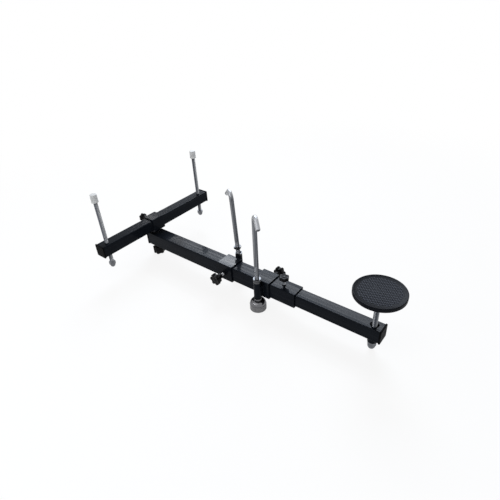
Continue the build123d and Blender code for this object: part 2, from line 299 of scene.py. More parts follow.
    def bump(self, height: Socket, strength: float, distance: float) -> None:
        """Gives the surface a relief, on top of any that it has.

        Args:
            height: varying height.
            strength: share of the relief that shows.
            distance: depth of the relief in metres.
        """
        node = self.tree.nodes.new("ShaderNodeBump")
        node.inputs["Strength"].default_value = strength
        node.inputs["Distance"].default_value = distance
        self.tree.links.new(height, node.inputs["Height"])
        for link in self.bsdf.inputs["Normal"].links:
            self.tree.links.new(link.from_socket, node.inputs["Normal"])
        self.feed("Normal", node.outputs["Normal"])


@dataclass(frozen=True)
class Relief:
    """Fine relief of a surface: its scale a metre, octaves, strength, and depth in metres."""

    scale: float
    detail: float
    strength: float
    depth: float

    def cut(self, shader: Shader, stretch: Colour | None = None, place: Socket | None = None) -> None:
        """Gives a material the relief, along a grain where it has one."""
        shader.bump(shader.noise(self.scale, self.detail, stretch, place), self.strength, self.depth)


@dataclass(frozen=True)
class Finish:
    """A finish: its slot in the record, two shades of its colour, its gloss and its texture.

    Clouds mix the two shades and haze varies the gloss. Each is a scale a metre and a number of octaves.
    Haze and relief are stretched along the axes where the finish has a grain.
    """

    name: str
    slot: Slot
    dark: Colour
    light: Colour
    gloss: Pair
    specular: float = 0.5
    clouds: Pair = (120.0, 3.0)
    haze: Pair = (260.0, 4.0)
    relief: Relief = Relief(900.0, 2.0, 0.08, 0.0003)
    grain: Colour | None = None

    def material(self) -> bpy.types.Material:
        """The finish's material, made on first use.

        Returns:
            The material.
        """
        found = bpy.data.materials.get(self.name)
        if found is not None:
            return found
        shader = Shader(self.name)
        shader.set(Specular_IOR_Level=self.specular)
        self.dress(shader)
        return shader.material

    def dress(self, shader: Shader) -> None:
        """Adds a clouded colour, a hazed gloss and the fine relief.

        Args:
            shader: the finish's material.
        """
        clouds = shader.span(shader.noise(*self.clouds), (0, 1))
        shader.feed("Base Color", shader.blend(clouds, self.dark, self.light))
        shader.feed("Roughness", shader.span(shader.noise(*self.haze, self.grain), self.gloss))
        self.relief.cut(shader, self.grain)


@dataclass(frozen=True)
class EdgedFinish(Finish):
    """Finish paler on its edges, a painted edge highlight and partly wear; the edge's width is in metres."""

    edge: Colour = (0.016, 0.016, 0.018)
    edge_width: float = 0.0008
    edge_wear_and_highlight: float = 0.35

    def dress(self, shader: Shader) -> None:
        """Adds the pale edges, a painted edge highlight and partly wear, over the plain finish."""
        super().dress(shader)
        shader.overlay(shader.edges(self.edge_width, self.edge_wear_and_highlight), self.edge)


@dataclass(frozen=True)
class StovePaint(EdgedFinish):
    """Semi-gloss black paint on steel: orange peel, soft smudges, and pale edges that are a painted edge
    highlight and partly wear.
    """

    clouds: Pair = (14.0, 3.0)
    haze: Pair = (45.0, 5.0)
    relief: Relief = Relief(420.0, 2.0, 0.012, 0.0002)
    # Pale bluish edge colour: painted edge highlight, partly wear.
    edge: Colour = (0.030, 0.033, 0.040)
    edge_width: float = 0.0012
    edge_wear_and_highlight: float = 0.55
    sheen: Colour = (0.72, 0.82, 1.0)
    varnish: float = 0.04
    varnish_rough: float = 0.08

    def dress(self, shader: Shader) -> None:
        """Adds a thin varnish to the paint.

        Args:
            shader: the finish's material.
        """
        super().dress(shader)
        shader.set(Specular_Tint=(*self.sheen, 1))
        shader.set(Coat_Weight=self.varnish, Coat_Roughness=self.varnish_rough)


@dataclass(frozen=True)
class TubePaint(StovePaint):
    """Stove paint on a square tube, whose rolled faces are a little hollow; sizes in metres."""

    middle: Colour = (0.0, 0.0, 0.0)
    half: float = 0.025
    across: Colour = (0.0, 1.0, 1.0)
    hollow: float = 0.00025
    streak: Pair = (0.02, 0.08)
    streaks_along: float = 1.5
    streaks_across: float = 130.0
    streak_detail: float = 2.0
    polish: float = 0.0

    def dress(self, shader: Shader) -> None:
        """Paints faces that dip along their middle, with long streaks in their gloss.

        Args:
            shader: the finish's material.
        """
        place = shader.vector("SUBTRACT", shader.place, self.middle)
        share = shader.vector("MULTIPLY", place, tuple(a / self.half for a in self.across))
        shader.bump(shader.vector("DOT_PRODUCT", share, share, "Value"), 1.0, self.hollow)
        super().dress(shader)
        stretch = tuple(self.streaks_along + self.streaks_across * a for a in self.across)
        gloss = shader.span(shader.noise(1.0, self.streak_detail, stretch), self.streak)
        if self.polish:
            gloss = shader.upward(gloss, self.polish)
        shader.feed("Coat Weight", gloss)


@dataclass(frozen=True)
class MouldedPlastic(EdgedFinish):
    """Black moulded plastic with a fine spark-eroded grain, a little paler on its edges: painted edge
    highlight, partly wear.
    """

    clouds: Pair = (60.0, 3.0)
    haze: Pair = (220.0, 4.0)
    relief: Relief = Relief(2600.0, 3.0, 0.22, 0.0003)


@dataclass(frozen=True)
class PlatedSteel(Finish):
    """Zinc-plated or turned steel with a clouded plating and a fine grain across its length."""

    clouds: Pair = (90.0, 5.0)
    haze: Pair = (1.0, 4.0)
    relief: Relief = Relief(1.0, 3.0, 0.06, 0.0002)
    grain: Colour | None = (60.0, 60.0, 900.0)

    def dress(self, shader: Shader) -> None:
        """Makes the plain finish a metal."""
        super().dress(shader)
        shader.set(Metallic=1.0)


@dataclass(frozen=True)
class TurnedSteel(PlatedSteel):
    """Turned steel, polished where the tool left it smooth and dull on the knurl."""

    polished: Colour = (0.15, 0.15, 0.158)
    smooth: float = 0.45

    def dress(self, shader: Shader) -> None:
        """Adds the polish that the piece's grain carries.

        Args:
            shader: the finish's material.
        """
        super().dress(shader)
        polish = shader.part(shader.grain(), "X")
        shader.overlay(polish, self.polished)
        rough = shader.source("Roughness")
        shader.feed("Roughness", shader.product(rough, shader.ramp(polish, (0, 1), (1, self.smooth))))


@dataclass(frozen=True)
class DrawnRod(PlatedSteel):
    """Plated rod with painted reflection streaks along it, laid out like the die marks of drawn bar, and made
    bright past a length in millimetres, partly by wear and partly as a painted highlight.
    """

    clouds: Pair = (1.0, 2.0)
    haze: Pair = (160.0, 4.0)
    relief: Relief = Relief(1.0, 3.0, 0.05, 0.0001)
    # Painted reflection streaks: their stretch, their offset, which puts a bright streak down one side of the
    # rod, and the span of noise that runs from dark to light.
    painted_streak_stretch: Colour = (0.13, 0.13, 0.002)
    scratches: Colour = (3.0, 3.0, 0.02)
    painted_streak_offset: Colour = (0.0, 0.0, 0.0)
    streak: Pair = (0.45, 0.72)
    # Colour at the bend: partly chain wear, partly a painted highlight.
    wear_and_highlight: Colour = (0.34, 0.35, 0.37)
    wear_and_highlight_at: Pair = (316.0, 336.0)

    def dress(self, shader: Shader) -> None:
        """Makes a metal with painted reflection streaks that follow the rod, and a bend made bright, partly
        by chain wear and partly as a painted highlight.

        Args:
            shader: the finish's material.
        """
        shader.set(Metallic=1.0)
        along = shader.grain()
        # Base colour runs from dark to light in painted reflection streaks along the rod.
        streaks = shader.noise(*self.clouds, self.painted_streak_stretch, shader.vector("ADD", along, self.painted_streak_offset))
        plate = shader.blend(shader.ramp(streaks, self.streak, (0, 1)), self.dark, self.light)
        # The bend turns bright: partly chain wear, partly a painted highlight.
        wear_and_highlight_share = shader.ramp(shader.part(along, "Z"), self.wear_and_highlight_at, (0, 1))
        shader.feed("Base Color", shader.blend(wear_and_highlight_share, plate, self.wear_and_highlight))
        shader.feed("Roughness", shader.span(shader.noise(*self.haze), self.gloss))
        self.relief.cut(shader, self.scratches, along)


@dataclass(frozen=True)
class NaturalNylon(Finish):
    """White nylon with faint flow marks, slightly see-through at its edges; depths in metres."""

    depth_share: float = 0.12
    depth: Colour = (0.004, 0.004, 0.0035)
    depth_scale: float = 0.4

    def dress(self, shader: Shader) -> None:
        """Gives the plain finish a soft depth.

        Args:
            shader: the finish's material.
        """
        super().dress(shader)
        shader.set(Subsurface_Weight=self.depth_share, Subsurface_Scale=self.depth_scale)
        shader.set(Subsurface_Radius=self.depth)


@dataclass(frozen=True)
class MouldedRubber(Finish):
    """Black rubber with a fine matt grain, paler on the tops of its studs, partly wear and partly a painted
    highlight.
    """

    clouds: Pair = (40.0, 5.0)
    haze: Pair = (300.0, 4.0)
    relief: Relief = Relief(1800.0, 3.0, 0.06, 0.0003)
    # Stud-top colour: partly wear, partly a painted highlight.
    wear_and_highlight: Colour = (0.048, 0.053, 0.068)

    def dress(self, shader: Shader) -> None:
        """Adds the paler stud tops that the piece's grain marks, partly wear and partly a painted highlight.
        """
        super().dress(shader)
        shader.overlay(shader.part(shader.grain(), "X"), self.wear_and_highlight)


BEAM = (0, -0.018, 0.0725)
CROSS = (-0.453875, 0, 0.1365)
BLACK = (Slot.PAINT, (0.0055, 0.0070, 0.0100), (0.0080, 0.0100, 0.0138), (0.24, 0.30), 0.02)
PAINT = StovePaint("black_stove_paint", *BLACK)
OUTER_PAINT = TubePaint("outer_tube_paint", *BLACK, middle=BEAM, half=0.0265)
INNER_PAINT = TubePaint("inner_tube_paint", *BLACK, middle=BEAM, half=0.0215, hollow=0.00008)
SLEEVE_PAINT = TubePaint("sleeve_paint", *BLACK, middle=BEAM, half=0.0315)
RUBBED_PAINT = TubePaint("rubbed_sleeve_paint", *BLACK, middle=BEAM, half=0.0315, polish=0.14)
CROSS_PAINT = TubePaint("crossbar_paint", *BLACK, middle=CROSS, half=0.02125, across=(1.0, 0.0, 1.0))
WELD = StovePaint(
    "painted_weld", Slot.PAINT, (0.004, 0.005, 0.006), (0.008, 0.009, 0.011), (0.26, 0.40), 0.03
)
MOULDED = (Slot.PLASTIC, (0.003, 0.003, 0.0035), (0.006, 0.006, 0.007))
PLASTIC = MouldedPlastic("moulded_black_plastic", *MOULDED, (0.26, 0.36), 0.07)
PLUG = MouldedPlastic("moulded_black_plug", *MOULDED, (0.42, 0.56), 0.015)
ZINC = PlatedSteel("zinc_plate", Slot.ZINC, (0.11, 0.115, 0.125), (0.18, 0.185, 0.20), (0.22, 0.36))
BRIGHT_ZINC = PlatedSteel("bright_zinc", Slot.ZINC, (0.05, 0.052, 0.055), (0.11, 0.112, 0.116), (0.24, 0.34))
# Dark and light of the rods' painted reflection streaks.
DRAWN = (Slot.ZINC, (0.060, 0.066, 0.078), (0.40, 0.41, 0.425), (0.24, 0.34))
# Each offset lays a bright painted reflection streak down one side of its rods.
ROD = DrawnRod("zinc_drawn_rod", *DRAWN, painted_streak_offset=(21.1, -67.2, -89.7))
HOOK_ROD = DrawnRod("zinc_hook_rod", *DRAWN, painted_streak_offset=(-39.7, 74.9, 47.8))
TURNED = TurnedSteel(
    "turned_steel_finish", Slot.STEEL, (0.12, 0.12, 0.125), (0.18, 0.18, 0.185), (0.16, 0.28),
    grain=(8.0, 8.0, 2400.0),
)
NYLON = NaturalNylon("natural_nylon", Slot.NYLON, (0.56, 0.56, 0.55), (0.64, 0.64, 0.63), (0.38, 0.52), 0.4)
RUBBER = MouldedRubber(
    "moulded_rubber", Slot.RUBBER, (0.0045, 0.0055, 0.008), (0.008, 0.009, 0.012), (0.28, 0.36), 0.03
)


def polar(radius: float, angle: float, height: float) -> Vector:
    """Point at a radius, an angle and a height."""
    return Vector((radius * math.cos(angle), radius * math.sin(angle), height))


def angles(steps: int) -> list[float]:
    """Equal steps round a full turn."""
    return [math.tau * i / steps for i in range(steps)]


def lift(height: float) -> Matrix:
    """Frame at a height on the Z axis."""
    return Matrix.Translation((0, 0, height))


def even(radius: float) -> Radius:
    """Round section of one radius."""
    return lambda angle: radius


def capped(most: float, cut: Radius) -> Radius:
    """Section that a thread cuts, nowhere past the most radius."""
    return lambda angle: min(most, cut(angle))


def arc_points(start: Vector, middle: Vector, end: Vector, steps: int) -> list[Pair]:
    """Points on the circle through three (radius, height) points.

    Args:
        start: first point.
        middle: a point between.
        end: last point.
        steps: number of pieces.

    Returns:
        The points from start to end.
    """
    a, b = middle - start, end - start
    cross = 2 * (a.x * b.y - a.y * b.x)
    far_a, far_b = a.length_squared, b.length_squared
    centre = start + Vector((b.y * far_a - a.y * far_b, a.x * far_b - b.x * far_a)) / cross
    first, last = (math.atan2(p.y - centre.y, p.x - centre.x) for p in (start, end))
    sweep = (last - first + math.pi) % math.tau - math.pi
    radius = (start - centre).length
    turns = [first + sweep * k / steps for k in range(steps + 1)]
    return [(centre.x + radius * math.cos(t), centre.y + radius * math.sin(t)) for t in turns]


def seat_on(node: str, out: Vector) -> Matrix:
    """Frame that starts at the inner end of a CAD node's box, in millimetres.

    Args:
        node: name of the CAD node.
        out: unit direction along one of the axes, which becomes the frame's Z.

    Returns:
        The frame in the row frame.
    """
    low, high = (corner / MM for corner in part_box(node))
    reach = sum(abs(out[k]) * (high[k] - low[k]) / 2 for k in range(3))
    return aimed((low + high) / 2 - out * reach, out)


def aimed(origin: Vector, out: Vector) -> Matrix:
    """Frame at a point with its Z along a direction.

    Args:
        origin: the point.
        out: the direction, of unit length.

    Returns:
        The frame.
    """
    side = UP if abs(out.x) > 0.5 else ALONG
    turn = Matrix((side, out.cross(side), out)).transposed().to_4x4()
    return Matrix.Translation(origin) @ turn


def reach_of(node: str, out: Vector) -> float:
    """Length of a CAD node's box along a direction, in millimetres."""
    low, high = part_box(node)
    return sum(abs(out[k]) * (high[k] - low[k]) for k in range(3)) / MM


def joint_seat(name: str) -> Matrix:
    """Frame at a joint's point, leaning about Y as its axis does, in millimetres.

    Args:
        name: name of the joint.

    Returns:
        The frame in the row frame.
    """
    joint = next(j for j in frame["joints"] if j["name"] == name)
    lean = math.atan2(joint["axis"][0], joint["axis"][2])
    return Matrix.Translation(Vector(joint["pos_m"]) / MM) @ Matrix.Rotation(lean, 4, "Y")


def dress(finish: Finish, *nodes: str) -> None:
    """Gives CAD nodes a finish, and leaves their shape as it is.

    Args:
        finish: what they are made of.
        nodes: names of the CAD nodes.
    """
    for node in nodes:
        materials = frame["nodes"][node].data.materials
        materials.clear()
        materials.append(finish.material())
        LOG.info("CAD node %s in %s", node, finish.name)


class Draft:
    """Points and faces of a piece while it is being shaped, in millimetres."""

    def __init__(self) -> None:
        """Starts with nothing."""
        self.points: list[Vector] = []
        self.faces: list[tuple[int, ...]] = []
        self.grain: dict[int, Vector] = {}

    def add(self, points: Iterable[Vector]) -> list[int]:
        """Adds points.

        Args:
            points: the points.

        Returns:
            Their numbers.
        """
        start = len(self.points)
        self.points.extend(points)
        return list(range(start, len(self.points)))

    def skin(self, low: list[int], high: list[int]) -> None:
        """Joins two closed rows of points, or a row and a single point.

        Args:
            low: numbers of the first row's points.
            high: numbers of the second row's points.
        """
        count = max(len(low), len(high))
        for i in range(count):
            j = (i + 1) % count
            if len(low) == 1:
                self.faces.append((low[0], high[j], high[i]))
            elif len(high) == 1:
                self.faces.append((low[i], low[j], high[0]))
            else:
                self.faces.append((low[i], low[j], high[j], high[i]))

    def loft(self, rows: Sequence[list[int]], closed: bool = False) -> None:
        """Skins a series of rows.

        Args:
            rows: numbers of each row's points.
            closed: joins the last row to the first.
        """
        for low, high in zip(rows, rows[1:]):
            self.skin(low, high)
        if closed:
            self.skin(rows[-1], rows[0])

    def lathe(
        self,
        profile: Sequence[Pair],
        steps: int,
        shape: Callable[[int, float], float] | None = None,
        closed: bool = False,
    ) -> None:
        """Turns a profile round the Z axis.

        Args:
            profile: points of (radius, height); a radius of 0 is a point on the axis.
            steps: sides of each turn.
            shape: radius of the numbered profile point at an angle, where it isn't round.
            closed: joins the profile's end to its start, as for a ring.
        """
        rows = []
        for k, (radius, height) in enumerate(profile):
            if radius <= 0:
                rows.append(self.add([Vector((0, 0, height))]))
            else:
                turn = (polar(shape(k, a) if shape else radius, a, height) for a in angles(steps))
                rows.append(self.add(turn))
        self.loft(rows, closed)

    def sweep(
        self, stations: Sequence[tuple[Matrix, Radius]], steps: int, closed: bool = False, turn: float = 0.0
    ) -> None:
        """Lofts round sections along a path.

        Args:
            stations: frame of each section, its Z along the path, and its radius by angle.
            steps: sides of each section.
            closed: joins the last section to the first instead of capping both ends.
            turn: angle of the grain about the path, which sets the side where the rods' painted reflection
                streaks fall.
        """
        spin = Matrix.Rotation(turn, 4, "Z")
        rows, run, last = [], 0.0, stations[0][0].translation
        for seat, radius in stations:
            run += (seat.translation - last).length
            last = seat.translation
            section = [polar(radius(a), a, 0) for a in angles(steps)]
            rows.append(self.add(seat @ point for point in section))
            self.grain.update((n, spin @ point + UP * run) for n, point in zip(rows[-1], section))
        if not closed:
            rows.insert(0, self.add([stations[0][0].translation]))
            rows.append(self.add([stations[-1][0].translation]))
        self.loft(rows, closed)

    def stud(self, seat: Matrix, foot: float, top: float, height: float) -> None:
        """Square raised stud with sloping sides.

        Args:
            seat: frame at the middle of its foot.
            foot: half the width of its foot.
            top: half the width of its top.
            height: height of its top.
        """
        corners = ((-1, -1), (1, -1), (1, 1), (-1, 1))
        low = self.add(seat @ Vector((x * foot, y * foot, 0)) for x, y in corners)
        high = self.add(seat @ Vector((x * top, y * top, height)) for x, y in corners)
        self.skin(low, high)
        self.faces.append(tuple(reversed(low)))
        self.faces.append(tuple(high))
        # Marks the stud tops for the rubber's paler colour, partly wear and partly a painted highlight.
        self.grain.update((n, ALONG) for n in high)

    def piece(
        self, name: str, body: str, finish: Finish, seat: Matrix | None = None, stands_for: Sequence[str] = ()
    ) -> None:
        """Makes the drafted mesh an object that rides on a body.

        Args:
            name: name of the piece.
            body: CAD body that it moves with.
            finish: what it is made of.
            seat: frame that the draft was made in, or the row frame.
            stands_for: CAD nodes that it replaces.
        """
        place = seat or Matrix.Identity(4)
        mesh = bpy.data.meshes.new(name)
        mesh.from_pydata([place @ point * MM for point in self.points], [], self.faces)
        shell = bmesh.new()
        shell.from_mesh(mesh)
        bmesh.ops.recalc_face_normals(shell, faces=shell.faces)
        shell.to_mesh(mesh)
        shell.free()
        mesh.shade_smooth()
        mesh.set_sharp_from_angle(angle=SHARP_EDGE)
        if self.grain:
            along = mesh.attributes.new(GRAIN, "FLOAT_VECTOR", "POINT")
            rest = Vector((0, 0, 0))
            marks = [c for n in range(len(self.points)) for c in self.grain.get(n, rest)]
            along.data.foreach_set("vector", marks)
        mesh.materials.append(finish.material())
        made = bpy.data.objects.new(name, mesh)
        bpy.context.scene.collection.objects.link(made)
        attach(made, body)
        if stands_for:
            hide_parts(*stands_for)
        LOG.info("piece %s on %s, %d faces", name, body, len(self.faces))


@dataclass
class Thread:
    """Screw thread on a rod: its pitch, depth and the stretch that it covers, in millimetres."""

    radius: float
    low: float
    high: float
    pitch: float = 2.0
    depth: float = 0.75
    runout: float = 3.0
    flank: float = 2.4
    crest: float = 0.1
    rows_a_turn: int = 6

    def at(self, height: float) -> Radius:
        """Section of the threaded rod at a height.

        Args:
            height: height on the rod.

        Returns:
            Its radius by angle.
        """
        fade = min(height - self.low, self.high - height) / self.runout
        cut = self.depth * max(0.0, min(1.0, fade))

        def radius(angle: float) -> float:
            """Radius at an angle, on a rounded V that climbs one pitch a turn."""
            phase = (height / self.pitch - angle / math.tau) % 1.0
            return self.radius - cut * min(1.0, max(0.0, self.flank * abs(phase - 0.5) - self.crest))

        return radius

    def heights(self) -> list[float]:
        """Heights of the sections that show the thread."""
        count = round((self.high - self.low) / self.pitch * self.rows_a_turn)
        return [self.low + (self.high - self.low) * k / count for k in range(count + 1)]


@dataclass
class ThreadedRod:
    """Straight screw or stud that stands for a CAD rod."""

    node: str
    body: str
    out: Vector
    chamfer: float = 1.2
    finish: Finish = ROD
    steps: int = 30
    pitch: float = 2.0
    depth: float = 0.75
    chamfer_slope: float = 0.8

    def build(self) -> None:
        """Makes the rod with its thread from end to end."""
        length = reach_of(self.node, self.out)
        radius = min(reach_of(self.node, side) for side in (ALONG, AWAY, UP)) / 2
        thread = Thread(radius, 0.0, length, self.pitch, self.depth, self.chamfer * 2)
        stations = []
        for height in thread.heights():
            ends = min(1.0, min(height, length - height) / self.chamfer)
            most = radius - self.chamfer * (1 - ends) * self.chamfer_slope
            stations.append((lift(height), capped(most, thread.at(height))))
        draft = Draft()
        draft.sweep(stations, self.steps)
        draft.piece(f"{self.node}_thread", self.body, self.finish, seat_on(self.node, self.out), [self.node])


@dataclass
class StarKnob:
    """Star knob moulded on its hub, with scalloped sides, a parting line and a dished top."""

    node: str
    body: str
    out: Vector
    radius: float
    thick: float
    hub_r: float
    bore: float
    seat: float
    lobe_depth: float = 4.5
    lobes: int = 6
    cut_r: float = 8.0
    edge: float = 2.0
    blend: float = 2.2
    chamfer: float = 0.6
    fillet: float = 1.2
    fillet_mid: float = 0.35
    parting: float = 0.35
    parting_h: float = 0.15
    dish_share: float = 0.58
    dish: tuple[Pair, ...] = ((0.1, 0.0), (0.9, -1.2))
    button_share: float = 0.62
    button: tuple[Pair, ...] = ((0.9, 0.8), (0.3, 0.0))
    crown: tuple[Pair, ...] = ((0.15, 0.3), (0.1, 0.0))
    steps: int = 144

    def rim(self, angle: float) -> float:
        """Radius of the scalloped rim.

        Args:
            angle: angle round the knob.

        Returns:
            The radius there.
        """
        turn = math.tau / self.lobes
        off = (angle + turn) % turn - turn / 2
        centre = self.radius + self.cut_r - self.lobe_depth
        inside = self.cut_r**2 - (centre * math.sin(off)) ** 2
        cut = centre * math.cos(off) - math.sqrt(inside) if inside > 0 else self.radius + self.cut_r
        near = max(0.0, self.blend - abs(self.radius - cut)) / self.blend
        return min(self.radius, cut) - near**2 * self.blend / 4

    def rounded(self, face: float, up: float) -> list[tuple[float, float, float]]:
        """Sections of the rim's rounded edge.

        Args:
            face: height of the face that it rounds off.
            up: 1 for the lower face and -1 for the upper one.

        Returns:
            Sections from the face to the side.
        """
        sections = []
        for t in QUARTER_TURN:
            inset = self.parting_h + self.edge * (1 - math.sin(t))
            sections.append((face + up * self.edge * (1 - math.cos(t)), FOLLOWS_RIM, inset))
        return sections

    def profile(self, length: float) -> list[tuple[float, float, float]]:
        """Sections of the knob from its bore round to the middle of its top.

        Args:
            length: whole length of the knob along its axis.

        Returns:
            Tuples of height, plain radius and distance inside the rim. A plain radius below 0 follows the
            rim.
        """
        start, mid = length - self.thick, length - self.thick / 2
        hub = [(self.seat, 0.0), (self.seat, self.bore), (0.0, self.bore)]
        hub += [(0.0, self.hub_r - self.chamfer), (self.chamfer, self.hub_r)]
        hub.append((start - self.fillet, self.hub_r))
        hub += [(start - self.fillet_mid, self.hub_r + self.fillet_mid), (start, self.hub_r + self.fillet)]
        side = self.rounded(start, 1)
        for off in (-self.parting, 0.0, self.parting):
            side.append((mid + off, FOLLOWS_RIM, self.parting_h if off else 0.0))
        side += reversed(self.rounded(length, -1))
        dish = self.dish_share * self.radius
        button = dish * self.button_share
        top = [(length - drop, dish + out) for drop, out in self.dish]
        top += [(length - drop, button + out) for drop, out in self.button]
        top += [(length - drop, dish * share) for drop, share in self.crown]
        return [(*point, 0.0) for point in hub] + side + [(*point, 0.0) for point in top]

    def build(self) -> None:
        """Makes the knob in place of its CAD solid."""
        sections = self.profile(reach_of(self.node, self.out))

        def shape(k: int, angle: float) -> float:
            """Radius of a section at an angle."""
            return sections[k][1] if sections[k][1] >= 0 else self.rim(angle) - sections[k][2]

        draft = Draft()
        draft.lathe([(abs(plain), height) for height, plain, _ in sections], self.steps, shape)
        draft.piece(f"{self.node}_star", self.body, PLASTIC, seat_on(self.node, self.out), [self.node])


@dataclass
class WeldBead:
    """Weld bead with the ripples of its run, in millimetres."""

    name: str
    body: str
    size: float = 1.7
    ripple: float = 2.6
    crest: float = 0.14
    taper: float = 0.45
    taper_rows: int = 3
    rows: int = 6
    least_rows: int = 24
    sides: int = 10

    def section(self, run: float, fall: float = 1.0) -> Radius:
        """Section of the bead at a distance along its run, with its share of the full size."""
        swell = self.size * (1 - self.crest + self.crest * abs(math.cos(math.pi * run / self.ripple)))
        return even(swell * fall)

    def round_seam(self, seat: Matrix, radius: float) -> None:
        """Lays the bead round a circle.

        Args:
            seat: frame of the circle.
            radius: radius of the bead's middle line.
        """
        count = max(self.least_rows, round(math.tau * radius / self.ripple) * self.rows)
        out = Matrix.Translation((radius, 0, 0)) @ Matrix.Rotation(-math.pi / 2, 4, "X")
        stations = []
        for angle in angles(count):
            stations.append((Matrix.Rotation(angle, 4, "Z") @ out, self.section(angle * radius)))
        draft = Draft()
        draft.sweep(stations, self.sides, closed=True)
        draft.piece(self.name, self.body, WELD, seat)

    def straight_seam(self, start: Vector, end: Vector) -> None:
        """Lays the bead along a line.

        Args:
            start: first point in the row frame.
            end: last point.
        """
        run = (end - start).length
        count = max(self.rows, round(run / self.ripple * self.rows))
        line = aimed(start, (end - start).normalized())
        stations = []
        for k in range(count + 1):
            fall = min(1.0, self.taper + (1 - self.taper) * min(k, count - k) / self.taper_rows)
            stations.append((line @ lift(run * k / count), self.section(run * k / count, fall)))
        draft = Draft()
        draft.sweep(stations, self.sides)
        draft.piece(self.name, self.body, WELD)


@dataclass(frozen=True)
class ClampKnob:
    """Star knob with a threaded stud, and the weld of the boss that the stud turns in."""

    name: str
    owner: str
    body: str
    out: Vector
    knob_r: float
    knob_thick: float
    knob_lobe: float
    tag: str = ""
    hub_r: float = 10.0
    stud_r: float = 5.0
    stud_seat: float = 12.0
    stud_chamfer: float = 0.9
    stud_pitch: float = 1.5
    stud_depth: float = 0.65
    stud_sides: int = 24
    boss_r: float = 9.0
    weld: float = 1.4

    def weld_boss(self) -> None:
        """Welds the boss to the body that carries it."""
        bead = WeldBead(f"{self.name}_boss_weld{self.tag}", self.owner, self.weld)
        bead.round_seam(seat_on(f"{self.name}_boss{self.tag}", self.out), self.boss_r)

    def build(self) -> None:
        """Makes the stud and the knob."""
        ThreadedRod(
            f"{self.name}_stud{self.tag}", self.body, self.out, self.stud_chamfer,
            pitch=self.stud_pitch, depth=self.stud_depth, steps=self.stud_sides,
        ).build()
        StarKnob(
            f"{self.name}_knob{self.tag}", self.body, self.out, self.knob_r, self.knob_thick,
            self.hub_r, self.stud_r, self.stud_seat, self.knob_lobe,
        ).build()


@dataclass
class MainBeam:
    """Outer square tube with its end plug, and the telescope's lock on its boss."""

    lock: ClampKnob = ClampKnob(
        "lock", "main_beam", "beam_lock", UP, 16.0, 12.5, 2.6, hub_r=7.5, stud_r=4.0,
        stud_chamfer=0.8, stud_pitch=1.25, stud_depth=0.55, boss_r=6.0, weld=1.2,
    )

    def build(self) -> None:
        """Dresses the tube and makes the lock's knob, stud and weld."""
        dress(OUTER_PAINT, "outer_beam")
        dress(PAINT, "lock_boss")
        dress(PLUG, "beam_end_cap")
        self.lock.weld_boss()
        self.lock.build()


@dataclass
class TelescopicBeam:
    """Inner square tube with its end plug and the spindle's bush."""

    bush_r: float = 14.0
    weld: float = 1.5

    def build(self) -> None:
        """Dresses the tube and welds the bush under it."""
        dress(INNER_PAINT, "inner_beam")
        dress(PAINT, "spindle_bush")
        dress(PLUG, "inner_end_cap")
        under = seat_on("spindle_bush", DOWN)
        under.translation.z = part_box("inner_beam")[0].z / MM
        WeldBead("bush_weld", "inner_beam", self.weld).round_seam(under, self.bush_r)


@dataclass
class Pad:
    """Round rubber pad on its screw spindle, dished inside a sloping border round a field of small studs."""

    radius: float = 72.0
    height: float = 12.8
    rim: float = 3.0
    slope: float = 9.0
    recess: float = 2.2
    edge: float = 1.5
    lip: tuple[Pair, ...] = ((0.3, 0.0), (-0.4, 0.15))
    plate_r: float = 64.0
    plate_h: float = 5.0
    pitch: float = 6.4
    stud_foot: float = 2.4
    stud_top: float = 1.7
    stud_h: float = 1.15
    stud_sunk: float = 0.2
    stud_margin: float = 0.6
    field_turn: float = math.radians(45)
    steps: int = 168

    def outline(self) -> list[Pair]:
        """Section of the rubber from its plate pocket round to the middle of its face.

        Returns:
            Points of (radius, height).
        """
        insets = [(self.edge * (1 - math.sin(t)), self.edge * (1 - math.cos(t))) for t in QUARTER_TURN]
        low = [(self.radius - side, end) for side, end in insets]
        high = [(self.radius - end, self.height - side) for side, end in insets]
        floor = self.height - self.recess
        inner = self.radius - self.rim
        lip = [(inner + out, self.height - drop) for out, drop in self.lip]
        pocket = [(0.0, self.plate_h), (self.plate_r, self.plate_h), (self.plate_r, 0.0)]
        return [*pocket, *low, *high, *lip, (inner - self.slope, floor), (0.0, floor)]

    def studs(self, draft: Draft) -> None:
        """Adds the raised studs, in rows that cross the beam at half a right angle.

        Args:
            draft: draft of the rubber.
        """
        reach = int(self.radius / self.pitch) + 1
        limit = self.radius - self.rim - self.slope - self.stud_foot * self.stud_margin
        turn = Matrix.Rotation(self.field_turn, 4, "Z")
        floor = self.height - self.recess - self.stud_sunk
        for i in range(-reach, reach + 1):
            for j in range(-reach, reach + 1):
                if math.hypot(i, j) * self.pitch < limit:
                    seat = turn @ Matrix.Translation((i * self.pitch, j * self.pitch, floor))
                    draft.stud(seat, self.stud_foot, self.stud_top, self.stud_h)

    def build(self) -> None:
        """Makes the rubber and the spindle, and dresses the plate, socket, ring and foot."""
        draft = Draft()
        draft.lathe(self.outline(), self.steps)
        self.studs(draft)
        draft.piece("pad_tread", "pad", RUBBER, seat_on("pad_rubber", UP), ["pad_rubber"])
        dress(PAINT, "pad_plate", "pad_hub")
        dress(ZINC, "spindle_clip", "spindle_foot")
        ThreadedRod("pad_spindle", "spindle", UP).build()


